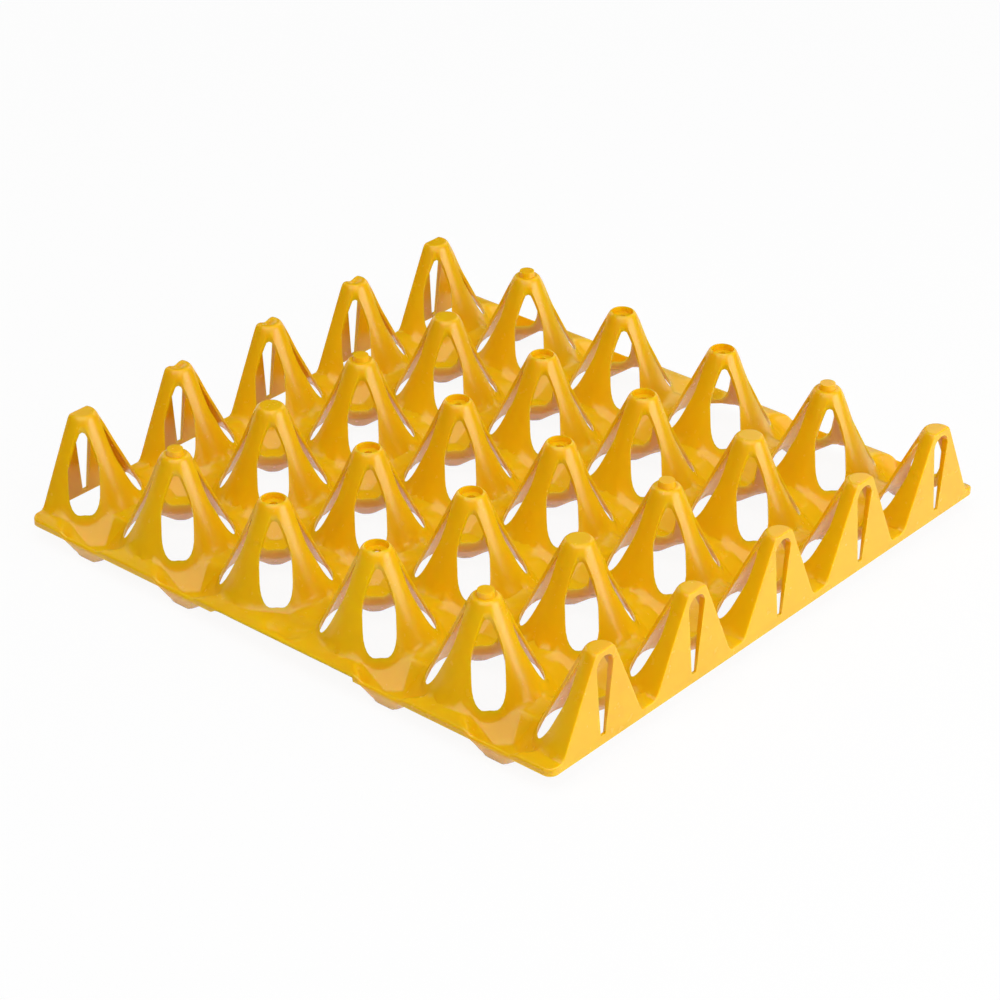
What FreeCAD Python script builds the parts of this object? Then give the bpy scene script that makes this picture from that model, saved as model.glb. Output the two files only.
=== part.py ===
import FreeCAD, Part
import math
import os

# Stacking tray for thirty eggs, moulded in one piece as an even sheet of plastic.
# Hollow posts stand on a square grid with a seat for an egg between every four of them.
# The outer columns are half posts closed by flat end walls, and each long rim has a row of
# smaller seats. Every surface is a flat facet. The mould opens along Z, so each window is an
# upright cut through the slanting wall of its post.
#
# Frame: +Z up, X across the six columns of posts, Y along the rows, and the origin in the
# middle of the plane on which the seats rest. Lengths are in millimetres.

# Grid and outline
PITCH = 58.0
COLUMNS = 6
ROWS = 5
END_BEYOND_COLUMN = 2.5
RIM_BEYOND_ROW = 31.5
CORNER_RADIUS = 4.0
CORNER_STEPS = 3

# Sheet, and the skirt that hangs from its edge
WALL = 1.3
WEB_Z = 11.0
SKIRT_DEPTH = 3.8

# Posts: a taper with a short shoulder at its tip
LEG_HALF_ANGLE = 20.0
LEG_BULGE = 1.07
POST_TOP_Z = 51.0
POST_TIP_RADIUS = 5.8
SHOULDER_Z = 49.0
SHOULDER_RADIUS = 6.9
POST_WEB_RADIUS = 24.4

# Windows, measured outwards from the axis of the post
WINDOW_HEAD = 7.6
WINDOW_HEAD_HALF_WIDTH = 2.2
WINDOW_HALF_WIDTH = 6.8
WINDOW_WIDE_FROM = 15.2
WINDOW_WIDE_TO = 18.8
WINDOW_SILL = 23.3
WINDOW_SILL_HALF_WIDTH = 3.0

# Walls of the seats: how far each lies from the centre at the floor, and its run per rise
SEAT_SIDE = (8.0, 1.6)
SEAT_FACET = (9.2, 0.91)
RIM_SEAT_SIDE = (5.5, 0.78)
RIM_SEAT_INNER_SIDE = (4.4, 0.78)
RIM_SEAT_OUTER_SIDE = (5.5, 0.37)
RIM_SEAT_FACET = (3.55, 0.91)
RIM_SEAT_FROM_ROW = 21.0
MIDDLE_SEAT_Z = 7.0

# Tips of the posts
TIP_SIDES = 8
BUTTON_RADIUS = 3.7
BUTTON_HEIGHT = 2.5
RECESS_RADIUS = 4.9
RECESS_Z = 48.4
VENT_RADIUS = 1.7

# Flat end walls, which thicken as they rise, and the slots in them
END_WALL_DRAFT = 0.045
SLOT_TOP_Z = 48.4
SLOT_TOP_HALF_WIDTH = 5.2
SLOT_HEAD_HEIGHT = 4.8
SLOT_FOOT_Z = 11.6
SLOT_FOOT_HALF_WIDTH = 1.6
SLOT_CUT_DEPTH = 5.0

# Gaps in the skirt: a long one in the middle of each long rim, where fingers lift the tray,
# and one at every seat along the rims
FRONT_GAP = (-36.5, 44.0)
BACK_GAP = (-29.0, 38.0)
SEAT_GAP_HALF_WIDTH = 11.0

LOW_Z = -4.0
HIGH_Z = 70.0
COLUMN_X = [PITCH * (i - (COLUMNS - 1) / 2) for i in range(COLUMNS)]
ROW_Y = [PITCH * (j - (ROWS - 1) / 2) for j in range(ROWS)]
SEAT_X = [x + PITCH / 2 for x in COLUMN_X[:-1]]
SEAT_Y = [y + PITCH / 2 for y in ROW_Y[:-1]]
HALF_X = COLUMN_X[-1] + END_BEYOND_COLUMN
HALF_Y = ROW_Y[-1] + RIM_BEYOND_ROW
POST_SLOPE = (POST_WEB_RADIUS - SHOULDER_RADIUS) / (SHOULDER_Z - WEB_Z)
OPEN_COLUMNS = COLUMN_X[2:4]
CLOSED_COLUMNS = COLUMN_X[:2] + COLUMN_X[4:]
BUTTON_COLUMNS = [COLUMN_X[1], COLUMN_X[4]]


def vec(x, y, z=0.0):
    return FreeCAD.Vector(x, y, z)


def face(points):
    return Part.Face(Part.makePolygon(points + points[:1]))


def stack(rings):
    """Closed solid through rings of corners, from the lowest ring to the highest."""
    faces = [face(rings[0]), face(rings[-1])]
    count = len(rings[0])
    for low, high in zip(rings, rings[1:]):
        for k in range(count):
            n = (k + 1) % count
            faces.append(face([low[k], low[n], high[n], high[k]]))
    solid = Part.makeSolid(Part.makeShell(faces))
    if solid.Volume < 0:
        solid.reverse()
    return solid


def prism(outline, z0, z1):
    """Upright prism over an outline of (x, y) corners."""
    return face([vec(x, y, z0) for x, y in outline]).extrude(vec(0, 0, z1 - z0))


def box(x0, x1, y0, y1, z0, z1):
    return Part.makeBox(x1 - x0, y1 - y0, z1 - z0, vec(x0, y0, z0))


def moved(shape, x, y, turn=0.0):
    copy = shape.copy()
    copy.rotate(vec(0, 0), vec(0, 0, 1), turn)
    copy.translate(vec(x, y))
    return copy


def at_posts(shape, columns, rows=ROW_Y):
    return [moved(shape, x, y) for x in columns for y in rows]


def slant(slope, thickness=WALL):
    """Level width of a wall whose surface runs out by slope for each unit that it rises."""
    return thickness * math.sqrt(1 + slope * slope)


def footprint(margin=0.0):
    """Outline of the tray with its rounded corners, drawn in by the margin."""
    x = HALF_X - CORNER_RADIUS
    y = HALF_Y - CORNER_RADIUS
    r = CORNER_RADIUS - margin
    outline = []
    for turn, (sx, sy) in enumerate(((1, 1), (-1, 1), (-1, -1), (1, -1))):
        for step in range(CORNER_STEPS + 1):
            a = (turn + step / CORNER_STEPS) * math.pi / 2
            outline.append((sx * x + r * math.cos(a), sy * y + r * math.sin(a)))
    return outline


# Posts

def post_radius(z):
    return POST_WEB_RADIUS - POST_SLOPE * (z - WEB_Z)


def post_ring(radius, z):
    """Section of a post: four wide flats face the diagonals, and two narrow ones make each leg."""
    corners = []
    for quarter in range(4):
        for angle, reach in ((0, 1.0), (LEG_HALF_ANGLE, LEG_BULGE), (90 - LEG_HALF_ANGLE, LEG_BULGE)):
            a = math.radians(90 * quarter + angle)
            corners.append(vec(radius * reach * math.cos(a), radius * reach * math.sin(a), z))
    return corners


def post():
    """Outside of a post, down through the web."""
    return stack([post_ring(post_radius(LOW_Z), LOW_Z),
                  post_ring(SHOULDER_RADIUS, SHOULDER_Z),
                  post_ring(POST_TIP_RADIUS, POST_TOP_Z)])


def post_hollow(top):
    """Space inside a post, open below."""
    wall = slant(POST_SLOPE)
    return stack([post_ring(post_radius(LOW_Z) - wall, LOW_Z), post_ring(post_radius(top) - wall, top)])


def window():
    """Upright cut through the wall of a post on its +X side."""
    half = [(WINDOW_HEAD, WINDOW_HEAD_HALF_WIDTH),
            (WINDOW_WIDE_FROM, WINDOW_HALF_WIDTH),
            (WINDOW_WIDE_TO, WINDOW_HALF_WIDTH),
            (WINDOW_SILL, WINDOW_SILL_HALF_WIDTH)]
    return prism(half + [(x, -y) for x, y in reversed(half)], LOW_Z, HIGH_Z)


def windows():
    """Four windows on the diagonals of each post, and two on each half post."""
    cuts = []
    for x in COLUMN_X:
        for y in ROW_Y:
            for turn in (45, 135, 225, 315):
                outward = x * math.cos(math.radians(turn)) > 0
                if abs(x) < COLUMN_X[-1] or not outward:
                    cuts.append(moved(window(), x, y, turn))
    return cuts


# Seats

def bowl(walls, floor_z, inset):
    """Bowl of eight flat walls, given in turn from +X. The inset sets it back below its surface."""
    turn = 2 * math.pi / len(walls)
    rings = []
    for z in (floor_z - inset, WEB_Z + WALL):
        reaches = [reach + slope * (z - floor_z) + slant(slope, inset) for reach, slope in walls]
        ring = []
        for k, reach in enumerate(reaches):
            following = reaches[(k + 1) % len(walls)]
            along = (following - reach * math.cos(turn)) / math.sin(turn)
            x = reach * math.cos(k * turn) - along * math.sin(k * turn)
            y = reach * math.sin(k * turn) + along * math.cos(k * turn)
            ring.append(vec(x, y, z))
        rings.append(ring)
    return stack(rings)


def seats(inset):
    """Every seat: one between each four posts, and a row of smaller ones along each long rim."""
    inner = [RIM_SEAT_SIDE, RIM_SEAT_FACET, RIM_SEAT_INNER_SIDE, RIM_SEAT_FACET, RIM_SEAT_SIDE]
    outer = [RIM_SEAT_SIDE, RIM_SEAT_OUTER_SIDE, RIM_SEAT_SIDE]
    seat = bowl(4 * [SEAT_SIDE, SEAT_FACET], WALL, inset)
    rim_seat = bowl(inner + outer, WALL, inset)
    middle_seat = bowl(5 * [RIM_SEAT_SIDE] + outer, MIDDLE_SEAT_Z, inset)
    tools = [moved(seat, x, y) for x in SEAT_X for y in SEAT_Y]
    for x in SEAT_X:
        tool = rim_seat if x else middle_seat
        tools.append(moved(tool, x, ROW_Y[0] - RIM_SEAT_FROM_ROW))
        tools.append(moved(tool, x, ROW_Y[-1] + RIM_SEAT_FROM_ROW, 180))
    return tools


# Edges

def skirt():
    """Wall that hangs from the edge of the sheet on three sides, with gaps along the long rims."""
    foot_z = WEB_Z - SKIRT_DEPTH
    band = prism(footprint(), foot_z, WEB_Z).cut(prism(footprint(WALL), foot_z, WEB_Z))
    inner_y = HALF_Y - CORNER_RADIUS
    gaps = [box(-HALF_X, -HALF_X + CORNER_RADIUS, -inner_y, inner_y, LOW_Z, WEB_Z - WALL)]
    for y0, long_gap in ((-HALF_Y, FRONT_GAP), (inner_y, BACK_GAP)):
        spans = [long_gap] + [(x - SEAT_GAP_HALF_WIDTH, x + SEAT_GAP_HALF_WIDTH) for x in SEAT_X if x]
        gaps += [box(x0, x1, y0, y0 + CORNER_RADIUS, LOW_Z, HIGH_Z) for x0, x1 in spans]
    return band.cut(gaps)


def end_slots():
    """Cuts through the flat end walls, wide at the head and narrow at the foot."""
    half = [(SLOT_FOOT_HALF_WIDTH, SLOT_FOOT_Z),
            (SLOT_TOP_HALF_WIDTH, SLOT_TOP_Z - SLOT_HEAD_HEIGHT),
            (SLOT_TOP_HALF_WIDTH / 2, SLOT_TOP_Z)]
    section = half + [(-y, z) for y, z in reversed(half)]
    slot = face([vec(HALF_X - SLOT_CUT_DEPTH, y, z) for y, z in section])
    slot = slot.extrude(vec(2 * SLOT_CUT_DEPTH, 0, 0))
    return [moved(slot, 0, y, turn) for y in ROW_Y for turn in (0, 180)]


# Tips

def tip_cylinder(radius, z0, z1):
    """Eight-sided prism with a side facing +X."""
    turn = 2 * math.pi / TIP_SIDES
    return prism([(radius * math.cos((k + 0.5) * turn), radius * math.sin((k + 0.5) * turn))
                  for k in range(TIP_SIDES)], z0, z1)


def tip_cups():
    """Cups in the tips of the open columns, each with a vent through its floor."""
    cup = tip_cylinder(RECESS_RADIUS, RECESS_Z, HIGH_Z)
    vent = tip_cylinder(VENT_RADIUS, LOW_Z, HIGH_Z)
    return at_posts(cup.fuse(vent), OPEN_COLUMNS)


def between_end_walls():
    """Space between the end walls, whose inner faces lean inwards above the web."""
    foot = HALF_X - WALL
    head = foot - END_WALL_DRAFT * (HIGH_Z - WEB_Z)
    rings = []
    for x, z in ((foot, LOW_Z), (foot, WEB_Z), (head, HIGH_Z)):
        rings.append([vec(-x, -HALF_Y, z), vec(x, -HALF_Y, z), vec(x, HALF_Y, z), vec(-x, HALF_Y, z)])
    return stack(rings)


def outer_form():
    """Everything under the outer surface of the sheet."""
    block = prism(footprint(), LOW_Z, WEB_Z).cut(seats(0.0))
    limit = prism(footprint(), LOW_Z, HIGH_Z)
    return block.fuse(at_posts(post(), COLUMN_X)).common(limit)


def hollow_form():
    """Everything under the inner surface of the sheet."""
    block = box(-2 * HALF_X, 2 * HALF_X, -2 * HALF_Y, 2 * HALF_Y, 2 * LOW_Z, WEB_Z - WALL)
    block = block.cut(seats(WALL) + [skirt()])
    inside = between_end_walls()
    hollows = at_posts(post_hollow(POST_TOP_Z - WALL), CLOSED_COLUMNS)
    hollows += at_posts(post_hollow(RECESS_Z - WALL), OPEN_COLUMNS)
    return block.fuse([hollow.common(inside) for hollow in hollows])


button = tip_cylinder(BUTTON_RADIUS, POST_TOP_Z - WALL / 2, POST_TOP_Z + BUTTON_HEIGHT)
tray = outer_form().cut(hollow_form())
tray = tray.fuse(at_posts(button, BUTTON_COLUMNS, ROW_Y[::2]))
tray = tray.cut(windows() + end_slots() + tip_cups())
os.makedirs("parts", exist_ok=True)
tray.exportStep("parts/egg_tray.step")
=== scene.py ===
import math

import bmesh
import bpy
import numpy as np
from mathutils import Matrix, Vector, geometry, kdtree


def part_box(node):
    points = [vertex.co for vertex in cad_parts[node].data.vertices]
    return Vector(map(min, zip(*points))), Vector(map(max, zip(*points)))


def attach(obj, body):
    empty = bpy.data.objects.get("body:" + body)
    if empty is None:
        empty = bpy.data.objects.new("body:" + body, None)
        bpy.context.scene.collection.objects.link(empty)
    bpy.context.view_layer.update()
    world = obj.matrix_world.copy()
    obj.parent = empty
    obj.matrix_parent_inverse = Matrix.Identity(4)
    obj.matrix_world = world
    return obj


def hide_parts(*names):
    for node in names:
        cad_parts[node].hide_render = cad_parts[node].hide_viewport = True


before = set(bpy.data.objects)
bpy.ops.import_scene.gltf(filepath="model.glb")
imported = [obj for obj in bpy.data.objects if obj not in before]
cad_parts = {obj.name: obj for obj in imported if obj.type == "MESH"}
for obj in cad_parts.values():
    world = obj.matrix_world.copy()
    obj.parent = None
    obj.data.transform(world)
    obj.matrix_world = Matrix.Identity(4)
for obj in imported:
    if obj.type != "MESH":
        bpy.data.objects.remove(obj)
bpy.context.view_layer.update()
low_corner, high_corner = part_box("egg_tray")

MM = 0.001

# The tray in millimetres, as in its solid
PITCH = 58.0
COLUMNS = 6
ROWS = 5
HALF_X = high_corner[0] / MM
HALF_Y = high_corner[1] / MM
COLUMN_X = np.array([PITCH * (i - (COLUMNS - 1) / 2) for i in range(COLUMNS)])
ROW_Y = np.array([PITCH * (j - (ROWS - 1) / 2) for j in range(ROWS)])
CORNER_RADIUS = 4.0
WALL = 1.3
WEB_Z = 11.0
FLOOR_Z = 1.3
DIAGONAL = math.sqrt(0.5)

# Edges are rounded, and the web rolls down a little towards the long rims
END_EDGE_RADIUS = 0.5
RIM_EDGE_RADIUS = 1.2
RIM_ROLL_FROM = 142.5
RIM_ROLL = 1.3

# Posts: the fillet at their foot is narrow in the seats and widens over the last rise to the web
POST_WEB_RADIUS = 24.4
POST_SLOPE = 0.4605
POST_TOP_Z = 51.0
POST_SHOULDER = 2.2
POST_FILLET = 3.0
SEAT_FILLET = 0.6
FILLET_RISE = 2.0
BUTTON_RADIUS = 3.7
BUTTON_HEIGHT = 2.5
RECESS_RADIUS = 4.9
RECESS_Z = 48.4
VENT_RADIUS = 1.7
DIP_RADIUS = 4.3
DIP_DEPTH = 1.7
STEP_WIDTH = 0.5

# Seats: where each wall meets the floor, measured from the centre of the seat (the facet: from the
# axis of the post), and how far it runs for each unit it rises
FACET_FROM = 31.81
FACET_SLOPE = 0.91
SIDE_REACH = 8.0
SIDE_SLOPE = 1.34
SIDE_BREAK = 17.25
SIDE_BREAK_Z = 8.2
SIDE_BREAK_HALF_WIDTH = 4.67
DIAGONAL_REACH = 9.2
WEB_SLOPE = 3.48
RIM_SEAT_FROM_ROW = 21.0
RIM_SEAT_SIDE_REACH = 5.5
RIM_SEAT_SIDE_SLOPE = 1.34
RIM_SEAT_INNER_REACH = 4.4
RIM_SEAT_INNER_SLOPE = 0.95
RIM_SEAT_OUTER_REACH = 6.3
RIM_SEAT_OUTER_SLOPE = 0.37
RIM_SEAT_CORNER_REACH = 7.6
RIM_SEAT_CORNER_SLOPE = 0.8
MIDDLE_SEAT_Z = 8.4
MIDDLE_SEAT_CREASE = 3.0
CREASE = 0.8
FACET_CREASE = 0.35

# Windows, measured from the axis of the post, with round heads and sills
WINDOW_HEAD = 7.6
WINDOW_HEAD_HALF_WIDTH = 1.2
WINDOW_HALF_WIDTH = 6.8
WINDOW_WIDE_FROM = 14.2
WINDOW_WIDE_TO = 18.4
WINDOW_SILL = 23.8
WINDOW_SILL_HALF_WIDTH = 1.9
WINDOW_HEAD_START = 0.02
WINDOW_HEAD_CURVE = 1.6

# End walls, which thicken as they rise, and the slots in them
END_WALL_DRAFT = 0.045
END_WALL_REACH = 7.5
SLOT_TOP_Z = 48.3
SLOT_HALF_WIDTH = 5.2
SLOT_HEAD_HEIGHT = 4.8
SLOT_FOOT_Z = 11.6
SLOT_FOOT_HALF_WIDTH = 1.5

# Skirt and its finger gaps: where each starts and ends along X, and the length of its slanting ends
SKIRT_Z = 7.2
FRONT_GAP = (-36.5, 44.0, 4.0, 0.4)
BACK_GAP = (-29.0, 38.0, 4.0, 4.0)

# Points along the edge of the tray: fine near each half post, then coarse
RIM_STEP = 2.0
END_STEP = 0.5
END_STEPS = 18
END_COARSE_STEP = 1.0
END_COARSE_STEPS = 21
CORNER_STEPS = 6
EDGE_TURNS = (0, 22, 45, 67, 90)
EDGE_MARGIN = 0.4

# Points beside the creases
CREASE_STEP = 1.3
SEAT_CREASE_OFFSETS = (-0.6, 0.0, 0.6)
FACET_CREASE_OFFSETS = (-0.5, 0.0, 0.5)
FACET_CREASE_SEARCH = (20.0, 30.0, 400)
FACET_STEP = 1.45
FACET_STEPS = 6
RIM_SEAT_LEVELS = 11
RIM_SEAT_STEP = 1.2
RIM_SEAT_ROWS = (0.0, 0.9, 2.0)

# Rings of points round each post: radius, and number of points
TIP_RINGS = ((0.9, 8), (2.1, 16), (2.8, 24), (3.45, 24), (3.95, 24), (4.65, 28), (5.15, 28))
SHOULDER_RINGS = ((5.6, 32), (6.1, 32), (6.6, 32), (7.3, 40), (8.3, 40))
SIDE_RINGS = ((9.6, 48), (11.0, 48), (12.6, 48), (14.2, 48))
FOOT_RING_FROM = 15.9
FOOT_RING_STEP = 1.78
FOOT_RING_POINTS = 48
FOOT_RINGS = 7

# Grid of points over the rest, and the least gap that each kind of point keeps from the others
GRID_STEP = 2.3
GRID_COLUMNS = 64
CREASE_GAP = 0.5
RING_GAP = 0.45
GRID_GAP = 1.25
HOLE_MARGIN = 0.35
CELL = 0.3

# Tolerances: points this close merge, a strip of wall this low is left out, and a normal with this
# much of itself along X or Y belongs to an end or to a rim
MERGE_DISTANCE = 0.01
LEAST_STRIP = 0.05
FACING_END = 0.999
FACING_RIM = 0.99

# Edges that turn by more than this, in degrees, are shaded as sharp
SHARP_ANGLE = 48.0


def smooth_max(a, b, blend):
    h = np.maximum(blend - np.abs(a - b), 0.0) / blend
    return np.maximum(a, b) + h * h * blend / 4


def smooth_min(a, b, blend):
    return -smooth_max(-a, -b, blend)


def wall(distance, start, slope, z, inset):
    """Height of a wall that starts at a distance and runs out by slope for each unit it rises."""
    return z + (distance - start) / slope - inset * math.sqrt(1 + 1 / (slope * slope))


def nearest_post(x, y):
    column = np.clip(np.rint((x - COLUMN_X[0]) / PITCH), 0, COLUMNS - 1).astype(int)
    row = np.clip(np.rint((y - ROW_Y[0]) / PITCH), 0, ROWS - 1).astype(int)
    return column, row, x - COLUMN_X[column], y - ROW_Y[row]


def is_open(column):
    return (column == 2) | (column == 3)


def is_dipped(column, row):
    return (column == 0) & (row > 0) & (row < ROWS - 1)


def seat_height(x, y, inset):
    """Seats between four posts."""
    u = np.abs((x - COLUMN_X[0]) % PITCH - PITCH / 2)
    v = np.abs((y - ROW_Y[0]) % PITCH - PITCH / 2)
    u = np.where(np.abs(x) > COLUMN_X[-1], PITCH / 2 + np.abs(x) - COLUMN_X[-1], u)
    sides = []
    for reach in (u, v):
        steep = wall(reach, SIDE_REACH, SIDE_SLOPE, FLOOR_Z, inset)
        gentle = wall(reach, SIDE_BREAK, WEB_SLOPE, SIDE_BREAK_Z, inset)
        sides.append(smooth_min(smooth_min(steep, gentle, 1.5 * CREASE), WEB_Z - inset, CREASE))
    return smooth_max(smooth_max(sides[0], sides[1], CREASE), FLOOR_Z - inset, CREASE)


def rim_seat_height(x, y, inset):
    """Smaller seats along the long rims."""
    u = np.abs((x - COLUMN_X[0]) % PITCH - PITCH / 2)
    u = np.where(np.abs(x) > COLUMN_X[-1], PITCH / 2 + np.abs(x) - COLUMN_X[-1], u)
    out = np.abs(y) - ROW_Y[-1] - RIM_SEAT_FROM_ROW
    middle = np.abs(x) < PITCH / 2
    floor = np.where(middle, MIDDLE_SEAT_Z, FLOOR_Z)
    crease = np.where(middle, MIDDLE_SEAT_CREASE, CREASE)
    z = wall(u, RIM_SEAT_SIDE_REACH, RIM_SEAT_SIDE_SLOPE, floor, inset)
    z = smooth_max(z, wall(-out, RIM_SEAT_INNER_REACH, RIM_SEAT_INNER_SLOPE, floor, inset), CREASE)
    corner = wall((u + out) * DIAGONAL, RIM_SEAT_CORNER_REACH, RIM_SEAT_CORNER_SLOPE, floor, inset)
    outer = wall(out, RIM_SEAT_OUTER_REACH, RIM_SEAT_OUTER_SLOPE, floor, inset)
    z = smooth_max(z, smooth_max(corner, outer, CREASE), CREASE)
    return smooth_min(smooth_max(z, floor - inset, crease), WEB_Z - inset, crease)


def height(x, y, inset):
    """Top of the sheet over (x, y), or its underside where the inset is the wall thickness."""
    column, row, lx, ly = nearest_post(x, y)
    radius = np.hypot(lx, ly)
    diagonal = (np.abs(lx) + np.abs(ly)) * DIAGONAL
    opened = is_open(column)
    dipped = is_dipped(column, row)

    top = POST_TOP_Z - inset
    if inset:
        top = np.where(opened, RECESS_Z - inset, np.where(dipped, top - DIP_DEPTH / 2, top))
    z = smooth_min(wall(-radius, -POST_WEB_RADIUS, POST_SLOPE, WEB_Z, inset), top, POST_SHOULDER)
    seat = np.where(np.abs(y) > ROW_Y[-1], rim_seat_height(x, y, inset), seat_height(x, y, inset))
    web = np.clip((seat + inset - WEB_Z) / FILLET_RISE + 1, 0, 1)
    z = smooth_max(z, seat, SEAT_FILLET + (POST_FILLET - SEAT_FILLET) * web)
    facet = wall(-diagonal, -FACET_FROM, FACET_SLOPE, FLOOR_Z, inset)
    z = smooth_max(z, np.minimum(facet, WEB_Z - inset), FACET_CREASE)
    z = z - RIM_ROLL * (np.maximum(np.abs(y) - RIM_ROLL_FROM, 0) / (HALF_Y - RIM_ROLL_FROM)) ** 2
    if inset:
        return z

    def step(edge):
        return np.clip((edge - radius) / STEP_WIDTH + 0.5, 0, 1)

    button = ((column == 1) | (column == 4)) & (row % 2 == 0)
    z = z + np.where(button, BUTTON_HEIGHT * step(BUTTON_RADIUS), 0)
    z = np.where(opened & (radius < POST_WEB_RADIUS), z + (RECESS_Z - z) * step(RECESS_RADIUS), z)
    dip = DIP_DEPTH * np.cos(np.minimum(radius / DIP_RADIUS, 1) * math.pi / 2) ** 2
    return z - np.where(dipped, dip, 0)


def under_sheet(plan):
    """Points of the underside below a plan, drawn in where the end walls thicken."""
    x, y = plan[:, 0], plan[:, 1]
    rise = np.maximum(height(x, y, WALL) - WEB_Z, 0)
    near = np.clip((END_WALL_REACH - HALF_X + np.abs(x)) / (END_WALL_REACH - WALL), 0, 1)
    x = x - np.sign(x) * END_WALL_DRAFT * rise * near
    return np.column_stack([x, y, height(x, y, WALL)])


def window_half():
    """Half of a window's outline in plan: distance from the post's axis, and half width."""
    half = [(WINDOW_HEAD, 0.0)]
    for k in range(8):
        t = k / 8
        along = WINDOW_HEAD_START + (1 - WINDOW_HEAD_START) * t
        wide = 1 - (1 - t) ** WINDOW_HEAD_CURVE
        half.append((WINDOW_HEAD + (WINDOW_WIDE_FROM - WINDOW_HEAD) * along,
                     WINDOW_HEAD_HALF_WIDTH + (WINDOW_HALF_WIDTH - WINDOW_HEAD_HALF_WIDTH) * wide))
    for k in range(4):
        half.append((WINDOW_WIDE_FROM + (WINDOW_WIDE_TO - WINDOW_WIDE_FROM) * k / 4, WINDOW_HALF_WIDTH))
    for k in range(7):
        a = k / 6 * math.pi / 2
        d = WINDOW_WIDE_TO + (WINDOW_SILL - WINDOW_WIDE_TO) * math.sin(a)
        half.append((d, WINDOW_SILL_HALF_WIDTH
                     + (WINDOW_HALF_WIDTH - WINDOW_SILL_HALF_WIDTH) * math.cos(a)))
    half.append((WINDOW_SILL, 0.0))
    return half


def slot_half():
    """Half of a slot's outline on its end wall: half width, and height."""
    neck = SLOT_TOP_Z - SLOT_HEAD_HEIGHT
    half = []
    for k in range(6):
        t = k / 6
        half.append((SLOT_FOOT_HALF_WIDTH + (SLOT_HALF_WIDTH - SLOT_FOOT_HALF_WIDTH) * t,
                     SLOT_FOOT_Z + (neck - SLOT_FOOT_Z) * t))
    for k in range(6):
        a = k / 6 * math.pi / 2
        half.append((SLOT_HALF_WIDTH * math.cos(a), neck + SLOT_HEAD_HEIGHT * math.sin(a)))
    return half + [(0.0, SLOT_TOP_Z)]


WINDOW = window_half()
SLOT = slot_half()


def window_places():
    """Axis of the post and signs of the diagonal for every window."""
    for x in COLUMN_X:
        for y in ROW_Y:
            for sx in (-1, 1):
                if abs(x) < COLUMN_X[-1] or sx * x < 0:
                    for sy in (-1, 1):
                        yield x, y, sx, sy


def on_diagonal(place, d, w):
    """Point at distance d along the diagonal of a window and w across it."""
    x, y, sx, sy = place
    return x + sx * (d - w) * DIAGONAL, y + sy * (d + w) * DIAGONAL


def in_hole(x, y, margin):
    column, row, lx, ly = nearest_post(x, y)
    d = (np.abs(lx) + np.abs(ly)) * DIAGONAL
    w = np.abs(np.abs(lx) - np.abs(ly)) * DIAGONAL
    wide = np.interp(d, [p[0] for p in WINDOW], [p[1] for p in WINDOW], left=-9, right=-9)
    closed = ((column == 0) | (column == COLUMNS - 1)) & (lx * COLUMN_X[column] > 0)
    inside = (w < wide + margin) & (d > WINDOW_HEAD - margin) & (d < WINDOW_SILL + margin) & ~closed
    return inside | (is_open(column) & (np.hypot(lx, ly) < VENT_RADIUS + margin))


def skirt_foot(point, normal):
    """Lower edge of the skirt, which stops in the finger gaps and at -X."""
    x, y = point
    none = WEB_Z - WALL
    if normal[0] < -FACING_END:
        return none
    if abs(normal[1]) < FACING_RIM:
        return SKIRT_Z
    start, end, start_run, end_run = FRONT_GAP if y < 0 else BACK_GAP
    rise = min(1.0, (x - start) / start_run, (end - x) / end_run)
    return SKIRT_Z + (none - SKIRT_Z) * max(rise, 0.0)


def skirt_breaks(gap):
    """Where along X the skirt changes."""
    start, end, start_run, end_run = gap
    return [start, start + start_run, end - end_run, end]


def edge_ring(inset):
    """Points round the tray's edge with their outward normals, counter-clockwise."""
    offsets = [END_STEP * k for k in range(END_STEPS)]
    offsets += [END_STEP * END_STEPS + END_COARSE_STEP * k for k in range(END_COARSE_STEPS)]
    ends = {round(y + sign * d, 3) for y in ROW_Y for d in offsets for sign in (-1, 1)}
    ends = sorted(v for v in ends if abs(v) < HALF_Y - CORNER_RADIUS - EDGE_MARGIN)
    rims = {}
    for sign, gap in ((-1, FRONT_GAP), (1, BACK_GAP)):
        breaks = skirt_breaks(gap)
        count = int((HALF_X - CORNER_RADIUS - RIM_STEP) / RIM_STEP)
        even = [RIM_STEP * k for k in range(-count, count + 1)]
        even = [x for x in even if min(abs(x - b) for b in breaks) > RIM_STEP / 4]
        rims[sign] = sorted(even + breaks)
    r = CORNER_RADIUS - inset
    points = []
    normals = []
    for quarter, values in enumerate((ends, rims[1][::-1], ends[::-1], rims[-1])):
        side = 1 if quarter < 2 else -1
        for value in values:
            if quarter % 2:
                points.append((value, side * (HALF_Y - inset)))
                normals.append((0.0, side))
            else:
                points.append((side * (HALF_X - inset), value))
                normals.append((side, 0.0))
        cx = (HALF_X - CORNER_RADIUS) * (1 if quarter in (0, 3) else -1)
        cy = (HALF_Y - CORNER_RADIUS) * side
        for k in range(CORNER_STEPS + 1):
            a = (quarter + k / CORNER_STEPS) * math.pi / 2
            points.append((cx + r * math.cos(a), cy + r * math.sin(a)))
            normals.append((math.cos(a), math.sin(a)))
    return np.array(points), np.array(normals)


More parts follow.
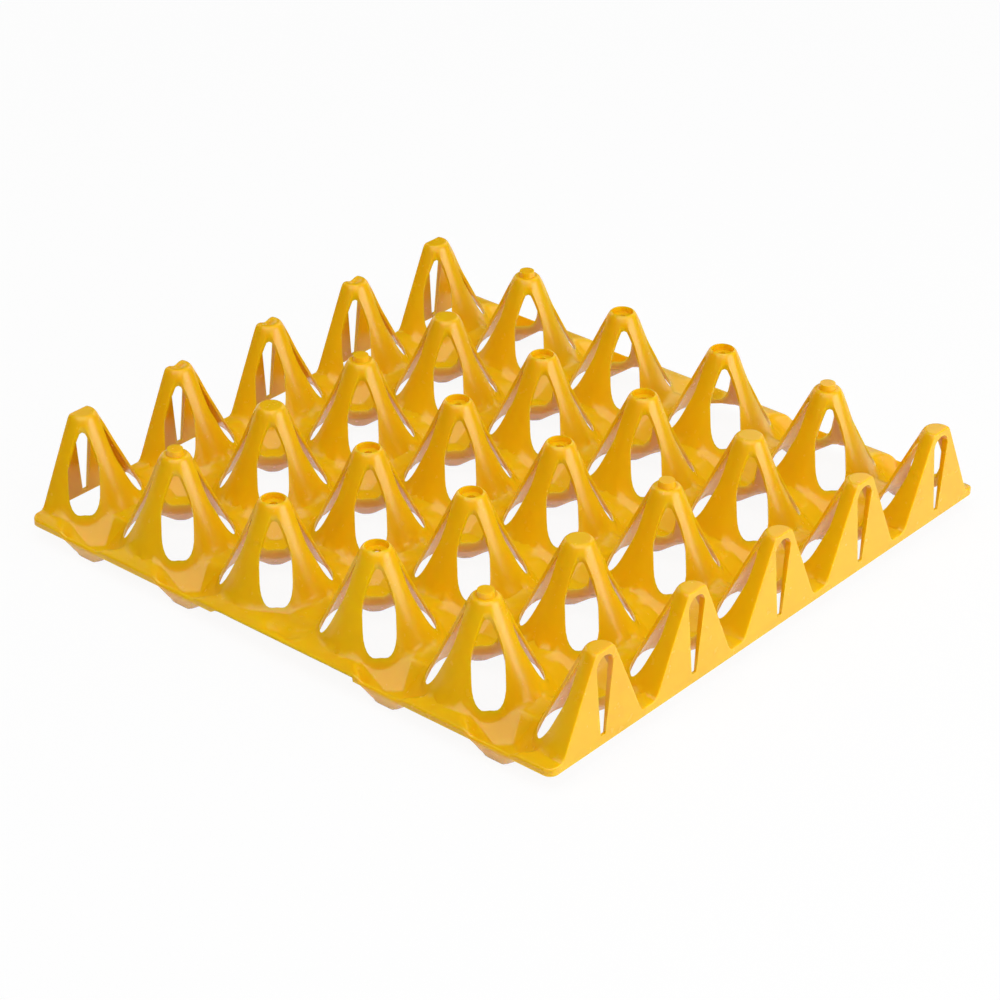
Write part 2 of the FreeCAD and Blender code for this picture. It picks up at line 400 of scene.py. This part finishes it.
def crease_points():
    """Points beside the creases of the seats and of the facets, so that the mesh follows them."""
    short = DIAGONAL_REACH / DIAGONAL - SIDE_REACH
    corner = (SIDE_REACH, short)
    turned = (short, SIDE_REACH)
    lines = [((SIDE_REACH, -short), corner), (corner, turned),
             (corner, (SIDE_BREAK, SIDE_BREAK_HALF_WIDTH)),
             (turned, (SIDE_BREAK_HALF_WIDTH, SIDE_BREAK)),
             ((SIDE_BREAK, -SIDE_BREAK_HALF_WIDTH), (SIDE_BREAK, SIDE_BREAK_HALF_WIDTH))]
    seat = []
    for (x0, y0), (x1, y1) in lines:
        length = math.hypot(x1 - x0, y1 - y0)
        nx, ny = -(y1 - y0) / length, (x1 - x0) / length
        for t in np.linspace(0, 1, max(3, int(length / CREASE_STEP) + 1)):
            for offset in SEAT_CREASE_OFFSETS:
                seat.append((x0 + (x1 - x0) * t + nx * offset, y0 + (y1 - y0) * t + ny * offset))
    seat = [turn for x, y in seat for turn in ((x, y), (-y, x), (-x, -y), (y, -x))]
    points = []
    for cx in COLUMN_X[:-1] + PITCH / 2:
        for cy in ROW_Y[:-1] + PITCH / 2:
            points += [(cx + x, cy + y) for x, y in seat]

    rim_seat = []
    for rise in np.linspace(0, WEB_Z - FLOOR_Z, RIM_SEAT_LEVELS):
        along = (FACET_FROM - FACET_SLOPE * rise) / DIAGONAL
        u = RIM_SEAT_SIDE_REACH + RIM_SEAT_SIDE_SLOPE * rise
        out = along - (PITCH / 2 - u) - RIM_SEAT_FROM_ROW
        rim_seat += [(u, out + offset) for offset in FACET_CREASE_OFFSETS]
        out = -RIM_SEAT_INNER_REACH - RIM_SEAT_INNER_SLOPE * rise
        u = PITCH / 2 - (along - RIM_SEAT_FROM_ROW - out)
        rim_seat += [(u + offset, out) for offset in FACET_CREASE_OFFSETS]
    for u in np.arange(0, PITCH / 4, RIM_SEAT_STEP):
        rim_seat += [(u, RIM_SEAT_OUTER_REACH + offset) for offset in RIM_SEAT_ROWS]
    for x in (-2 * PITCH, -PITCH, PITCH, 2 * PITCH):
        for side in (-1, 1):
            y = ROW_Y[-1] + RIM_SEAT_FROM_ROW
            points += [(x + turn * u, side * (y + out)) for u, out in rim_seat for turn in (-1, 1)]

    facet = []
    reaches = np.linspace(*FACET_CREASE_SEARCH)
    for w in np.arange(-FACET_STEPS, FACET_STEPS + 1) * FACET_STEP:
        cone = wall(-np.hypot(reaches, w), -POST_WEB_RADIUS, POST_SLOPE, WEB_Z, 0.0)
        flat = wall(-reaches, -FACET_FROM, FACET_SLOPE, FLOOR_Z, 0.0)
        crease = reaches[np.argmin(np.abs(cone - flat))]
        facet += [(crease + offset, w) for offset in FACET_CREASE_OFFSETS]
    for place in window_places():
        points += [on_diagonal(place, d, w) for d, w in facet]
    return points


def post_rings():
    """Rings of points round every post, close together where its tip has steps."""
    points = []
    rings = list(TIP_RINGS + SHOULDER_RINGS + SIDE_RINGS)
    rings += [(FOOT_RING_FROM + FOOT_RING_STEP * k, FOOT_RING_POINTS) for k in range(FOOT_RINGS)]
    for r, count in rings:
        for k in range(count):
            a = 2 * math.pi * (k + 0.5) / count
            dx, dy = r * math.cos(a), r * math.sin(a)
            points += [(x + dx, y + dy) for x in COLUMN_X for y in ROW_Y]
    return points


def grid_points():
    rise = GRID_STEP * math.sqrt(3) / 2
    rows = int(HALF_Y / rise)
    points = []
    for j in range(-rows, rows + 1):
        shift = 0.5 * (j % 2)
        points += [(GRID_STEP * (i + shift), rise * j) for i in range(-GRID_COLUMNS, GRID_COLUMNS + 1)]
    return points


def fill(coords, points, gap):
    """Add the points that lie on the sheet and at least the gap away from those already there."""
    tree = kdtree.KDTree(len(coords))
    for k, (x, y) in enumerate(coords):
        tree.insert((x, y, 0), k)
    tree.balance()
    spread = np.array(points)
    x, y = spread[:, 0], spread[:, 1]
    inside = (np.abs(x) < HALF_X - WALL - EDGE_MARGIN) & (np.abs(y) < HALF_Y - WALL - EDGE_MARGIN)
    seen = set()
    for px, py in spread[inside & ~in_hole(x, y, HOLE_MARGIN)]:
        cell = (round(px / CELL), round(py / CELL))
        if cell not in seen and tree.find((px, py, 0))[2] >= gap:
            seen.add(cell)
            coords.append((px, py))


def sheet_plan(ring):
    """Triangles of the sheet in plan, with the place in them of every point of the edge."""
    coords = []
    edges = []

    def add_loop(loop):
        first = len(coords)
        coords.extend(loop)
        edges.extend((first + k, first + (k + 1) % len(loop)) for k in range(len(loop)))

    add_loop([tuple(p) for p in ring])
    loop = WINDOW + [(d, -w) for d, w in WINDOW[-2:0:-1]]
    for place in window_places():
        add_loop([on_diagonal(place, d, w) for d, w in loop])
    for x in COLUMN_X[2:4]:
        for y in ROW_Y:
            turns = [2 * math.pi * k / 16 for k in range(16)]
            add_loop([(x + VENT_RADIUS * math.cos(a), y + VENT_RADIUS * math.sin(a)) for a in turns])
    fill(coords, crease_points(), CREASE_GAP)
    fill(coords, post_rings(), RING_GAP)
    fill(coords, grid_points(), GRID_GAP)

    result = geometry.delaunay_2d_cdt([Vector(c) for c in coords], edges, [], 0, 1e-7)
    plan = np.array([(v.x, v.y) for v in result[0]])
    tris = np.array(result[2])
    place = {old: new for new, olds in enumerate(result[3]) for old in olds}
    a, b, c = plan[tris[:, 0]], plan[tris[:, 1]], plan[tris[:, 2]]
    area = (b[:, 0] - a[:, 0]) * (c[:, 1] - a[:, 1]) - (c[:, 0] - a[:, 0]) * (b[:, 1] - a[:, 1])
    tris[area < 0] = tris[area < 0][:, ::-1]
    middle = (a + b + c) / 3
    keep = ~in_hole(middle[:, 0], middle[:, 1], 0.0) & (np.abs(area) > 1e-6)
    return plan, tris[keep], [place[k] for k in range(len(ring))]


def add_point(points, x, y, z):
    points.append((x, y, z))
    return len(points) - 1


def strip(faces, upper, lower):
    """Close the strip between two rows that go right round."""
    for k in range(len(upper)):
        n = (k + 1) % len(upper)
        faces.append((upper[k], lower[k], lower[n], upper[n]))


def rounded_edge(points, faces, row):
    """Carry the top of the sheet round its edge; returns the last row of points."""
    ring, normals = edge_ring(0.0)
    radius = END_EDGE_RADIUS + (RIM_EDGE_RADIUS - END_EDGE_RADIUS) * normals[:, 1] ** 2
    ring = ring - normals * radius[:, None]
    tangents = np.column_stack([-normals[:, 1], normals[:, 0]])
    z = height(ring[:, 0], ring[:, 1], 0.0)
    step = 0.05
    ahead = ring + tangents * step
    behind = ring - tangents * step
    climb = height(ahead[:, 0], ahead[:, 1], 0.0) - height(behind[:, 0], behind[:, 1], 0.0)
    slope = climb / (2 * step)
    up = 1 / np.sqrt(1 + slope * slope)
    for turn in EDGE_TURNS:
        out = radius * math.sin(math.radians(turn))
        down = radius * (1 - math.cos(math.radians(turn)))
        place = ring + normals * out[:, None] + tangents * (slope * up * down)[:, None]
        lower = [add_point(points, x, y, h) for (x, y), h in zip(place, z - up * down)]
        strip(faces, row, lower)
        row = lower
    return row


def flat_face(points, faces, upper, lower, loops, facing):
    """Fill one face of an end wall between its upper and lower rows, round the loops of its slots."""
    ids = upper + lower[::-1]
    for loop in loops:
        ids += loop
    edges = []
    first = 0
    for count in [2 * len(upper)] + [len(loop) for loop in loops]:
        edges += [(first + k, first + (k + 1) % count) for k in range(count)]
        first += count
    flat = [Vector(points[v][1:]) for v in ids]
    result = geometry.delaunay_2d_cdt(flat, edges, [], 1, 1e-7)
    heights = [z for w, z in SLOT]
    widths = [w for w, z in SLOT]
    for tri in result[2]:
        corners = [ids[result[3][v][0]] for v in tri]
        y, z = np.mean([points[v][1:] for v in corners], axis=0)
        row = ROW_Y[np.argmin(np.abs(ROW_Y - y))]
        if abs(y - row) < np.interp(z, heights, widths, left=-1, right=-1):
            continue
        a, b, c = (np.array(points[v]) for v in corners)
        if np.cross(b - a, c - a)[0] * facing < 0:
            corners.reverse()
        faces.append(tuple(corners))


def end_wall(points, faces, sign, members, outer, inner):
    """Flat end wall with a slot in every half post; outer and inner are the two rows of each face."""
    loop = SLOT + [(-w, z) for w, z in SLOT[-2::-1]]
    loops = []
    for inset, draft in ((0.0, 0.0), (WALL, END_WALL_DRAFT)):
        on_wall = [(sign * (HALF_X - inset - draft * (z - WEB_Z)), w, z) for w, z in loop]
        loops.append([[add_point(points, x, y + w, z) for x, w, z in on_wall] for y in ROW_Y])
    for (upper, lower), holes, facing in ((outer, loops[0], sign), (inner, loops[1], -sign)):
        upper = [upper[k] for k in members]
        lower = [lower[k] for k in members]
        flat_face(points, faces, upper, lower, holes, facing)
    for near, far in zip(*loops):
        strip(faces, near, far)


def build_shell():
    ring, normals = edge_ring(WALL)
    count = len(ring)
    plan, tris, edge = sheet_plan(ring)
    total = len(plan)
    top = height(plan[:, 0], plan[:, 1], 0.0)
    under = under_sheet(plan)
    under[:, 2] = np.minimum(under[:, 2], top - WALL / 2)
    points = [tuple(p) for p in np.column_stack([plan, top])] + [tuple(p) for p in under]
    faces = [tuple(t) for t in tris] + [(c + total, b + total, a + total) for a, b, c in tris]

    # Upright walls of the windows and vents
    sides = {(t[k], t[(k + 1) % 3]) for t in tris for k in range(3)}
    on_edge = set(edge)
    for p, q in sides:
        if (q, p) not in sides and not (p in on_edge and q in on_edge):
            faces.append((p, p + total, q + total, q))

    outer_top = rounded_edge(points, faces, edge)
    inner_top = [v + total for v in edge]
    outer_foot = []
    inner_foot = []
    for k in range(count):
        z = skirt_foot(ring[k], normals[k])
        x, y = ring[k] + normals[k] * WALL
        outer_foot.append(add_point(points, x, y, z))
        bare = points[inner_top[k]][2] < z + LEAST_STRIP
        inner_foot.append(inner_top[k] if bare else add_point(points, ring[k][0], ring[k][1], z))

    for sign in (1, -1):
        members = [k for k in range(count) if normals[k][0] * sign > FACING_END]
        members.sort(key=lambda k: ring[k][1])
        end_wall(points, faces, sign, members, (outer_top, outer_foot), (inner_top, inner_foot))
    for k in range(count):
        n = (k + 1) % count
        if min(abs(normals[k][0]), abs(normals[n][0])) < FACING_END:
            faces.append((outer_top[k], outer_foot[k], outer_foot[n], outer_top[n]))
            faces.append((inner_top[k], inner_top[n], inner_foot[n], inner_foot[k]))
        faces.append((outer_foot[k], inner_foot[k], inner_foot[n], outer_foot[n]))

    whole = [list(dict.fromkeys(int(v) for v in f)) for f in faces]
    whole = [f for f in whole if len(f) > 2]
    mesh = bpy.data.meshes.new("egg_tray_shell")
    mesh.from_pydata([(x * MM, y * MM, z * MM) for x, y, z in points], [], whole)
    mesh.validate()
    return mesh


def add_shell():
    mesh = build_shell()
    bm = bmesh.new()
    bm.from_mesh(mesh)
    bmesh.ops.remove_doubles(bm, verts=bm.verts, dist=MERGE_DISTANCE * MM)
    bmesh.ops.delete(bm, geom=[v for v in bm.verts if not v.link_faces], context="VERTS")
    bmesh.ops.recalc_face_normals(bm, faces=bm.faces)
    for face in bm.faces:
        face.smooth = any(abs(v.co.x) < (HALF_X - MERGE_DISTANCE) * MM for v in face.verts)
    for edge in bm.edges:
        if len(edge.link_faces) == 2 and edge.calc_face_angle(0) > math.radians(SHARP_ANGLE):
            edge.smooth = False
    bm.to_mesh(mesh)
    bm.free()
    shell = bpy.data.objects.new("egg_tray_shell", mesh)
    bpy.context.collection.objects.link(shell)
    return shell


def yellow_plastic():
    material = bpy.data.materials.new("yellow_plastic")
    material.use_nodes = True
    nodes = material.node_tree.nodes
    links = material.node_tree.links
    shader = nodes["Principled BSDF"]
    shader.inputs["IOR"].default_value = 1.49
    shader.inputs["Subsurface Weight"].default_value = 0.8
    shader.inputs["Subsurface Radius"].default_value = (1.0, 0.6, 0.1)
    shader.inputs["Subsurface Scale"].default_value = 0.004

    coordinates = nodes.new("ShaderNodeTexCoord")
    cloud = nodes.new("ShaderNodeTexNoise")
    cloud.inputs["Scale"].default_value = 22.0
    cloud.inputs["Detail"].default_value = 4.0
    links.new(coordinates.outputs["Object"], cloud.inputs["Vector"])
    colour = nodes.new("ShaderNodeValToRGB")
    colour.color_ramp.elements[0].position = 0.35
    colour.color_ramp.elements[0].color = (0.88, 0.475, 0.001, 1)
    colour.color_ramp.elements[1].position = 0.7
    colour.color_ramp.elements[1].color = (0.92, 0.52, 0.001, 1)
    links.new(cloud.outputs["Fac"], colour.inputs["Fac"])
    links.new(colour.outputs["Color"], shader.inputs["Base Color"])

    grain = nodes.new("ShaderNodeTexNoise")
    grain.inputs["Scale"].default_value = 260.0
    grain.inputs["Detail"].default_value = 3.0
    links.new(coordinates.outputs["Object"], grain.inputs["Vector"])
    rough = nodes.new("ShaderNodeMapRange")
    rough.inputs["To Min"].default_value = 0.22
    rough.inputs["To Max"].default_value = 0.3
    links.new(grain.outputs["Fac"], rough.inputs["Value"])
    links.new(rough.outputs["Result"], shader.inputs["Roughness"])
    bump = nodes.new("ShaderNodeBump")
    bump.inputs["Strength"].default_value = 0.12
    bump.inputs["Distance"].default_value = 0.0003
    links.new(grain.outputs["Fac"], bump.inputs["Height"])
    links.new(bump.outputs["Normal"], shader.inputs["Normal"])
    return material


def white_backdrop(name):
    material = bpy.data.materials.new(name)
    material.use_nodes = True
    nodes = material.node_tree.nodes
    links = material.node_tree.links
    paper = nodes["Principled BSDF"]
    paper.inputs["Base Color"].default_value = (0.9, 0.9, 0.9, 1)
    paper.inputs["Roughness"].default_value = 0.8
    glow = nodes.new("ShaderNodeEmission")
    glow.inputs["Strength"].default_value = 1.0
    path = nodes.new("ShaderNodeLightPath")
    seen = nodes.new("ShaderNodeMath")
    seen.operation = "MAXIMUM"
    through = nodes.new("ShaderNodeMath")
    through.operation = "MAXIMUM"
    share = nodes.new("ShaderNodeMath")
    share.operation = "MULTIPLY"
    share.inputs[1].default_value = FLOOR_WHITE
    mix = nodes.new("ShaderNodeMixShader")
    links.new(path.outputs["Is Camera Ray"], seen.inputs[0])
    links.new(path.outputs["Is Glossy Ray"], seen.inputs[1])
    links.new(path.outputs["Is Transmission Ray"], through.inputs[0])
    links.new(seen.outputs["Value"], through.inputs[1])
    links.new(through.outputs["Value"], share.inputs[0])
    links.new(share.outputs["Value"], mix.inputs["Fac"])
    links.new(paper.outputs["BSDF"], mix.inputs[1])
    links.new(glow.outputs["Emission"], mix.inputs[2])
    links.new(mix.outputs["Shader"], nodes["Material Output"].inputs["Surface"])
    return material


# The stage, in metres and degrees
FLOOR_REACH = 4.0
FLOOR_WHITE = 0.92
WORLD_LIGHT = 0.03
CAMERA_TURN = 40.3
CAMERA_DROP = 29.83
CAMERA_ROLL = 0.43
CAMERA_LENS = 110.5
CAMERA_DISTANCE = 1.319
CAMERA_AIM = (0.0156, -0.0235, 0.027)


def add_camera():
    data = bpy.data.cameras.new("camera")
    data.lens = CAMERA_LENS
    camera = bpy.data.objects.new("camera", data)
    turn = math.radians(CAMERA_TURN)
    drop = math.radians(CAMERA_DROP)
    level = math.cos(drop)
    forward = Vector((-math.sin(turn) * level, math.cos(turn) * level, -math.sin(drop)))
    camera.rotation_mode = "QUATERNION"
    look = forward.to_track_quat("-Z", "Y")
    roll = Matrix.Rotation(math.radians(CAMERA_ROLL), 3, "Z").to_quaternion()
    camera.rotation_quaternion = look @ roll
    camera.location = Vector(CAMERA_AIM) - forward * CAMERA_DISTANCE
    bpy.context.collection.objects.link(camera)
    bpy.context.scene.camera = camera


def add_softbox(name, azimuth, elevation, distance, size, power):
    """Area light aimed at the tray; its azimuth counts from -Y towards +X, in degrees."""
    data = bpy.data.lights.new(name, "AREA")
    data.shape = "RECTANGLE"
    data.size, data.size_y = size
    data.energy = power
    lamp = bpy.data.objects.new(name, data)
    a, e = math.radians(azimuth), math.radians(elevation)
    away = Vector((math.sin(a) * math.cos(e), -math.cos(a) * math.cos(e), math.sin(e)))
    lamp.location = away * distance
    lamp.rotation_euler = (-away).to_track_quat("-Z", "Y").to_euler()
    bpy.context.collection.objects.link(lamp)


def add_stage():
    mesh = bpy.data.meshes.new("floor")
    z = low_corner[2]
    corners = [(x * FLOOR_REACH, y * FLOOR_REACH, z) for x, y in ((-1, -1), (1, -1), (1, 1), (-1, 1))]
    mesh.from_pydata(corners, [], [(0, 1, 2, 3)])
    floor = bpy.data.objects.new("floor", mesh)
    floor.data.materials.append(white_backdrop("floor_white"))
    bpy.context.collection.objects.link(floor)
    world = bpy.data.worlds.new("studio")
    bpy.context.scene.world = world
    world.use_nodes = True
    nodes = world.node_tree.nodes
    links = world.node_tree.links
    background = nodes["Background"]
    background.inputs["Color"].default_value = (1, 1, 1, 1)
    path = nodes.new("ShaderNodeLightPath")
    strength = nodes.new("ShaderNodeMapRange")
    strength.inputs["To Min"].default_value = WORLD_LIGHT
    strength.inputs["To Max"].default_value = 1.0
    links.new(path.outputs["Is Camera Ray"], strength.inputs["Value"])
    links.new(strength.outputs["Result"], background.inputs["Strength"])


shell = add_shell()
shell.data.materials.append(yellow_plastic())
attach(shell, "root")
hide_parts("egg_tray")
add_stage()
add_camera()
add_softbox("softbox_right", 104.0, 16.0, 1.5, (1.1, 1.3), 17.0)
add_softbox("softbox_top", 30.0, 68.0, 1.7, (2.2, 2.2), 30.0)
add_softbox("softbox_left", 260.0, 20.0, 1.5, (1.1, 1.3), 4.0)
add_softbox("softbox_back", 190.0, 30.0, 1.7, (1.3, 1.3), 5.0)

scene = bpy.context.scene
scene.view_settings.view_transform = "Standard"
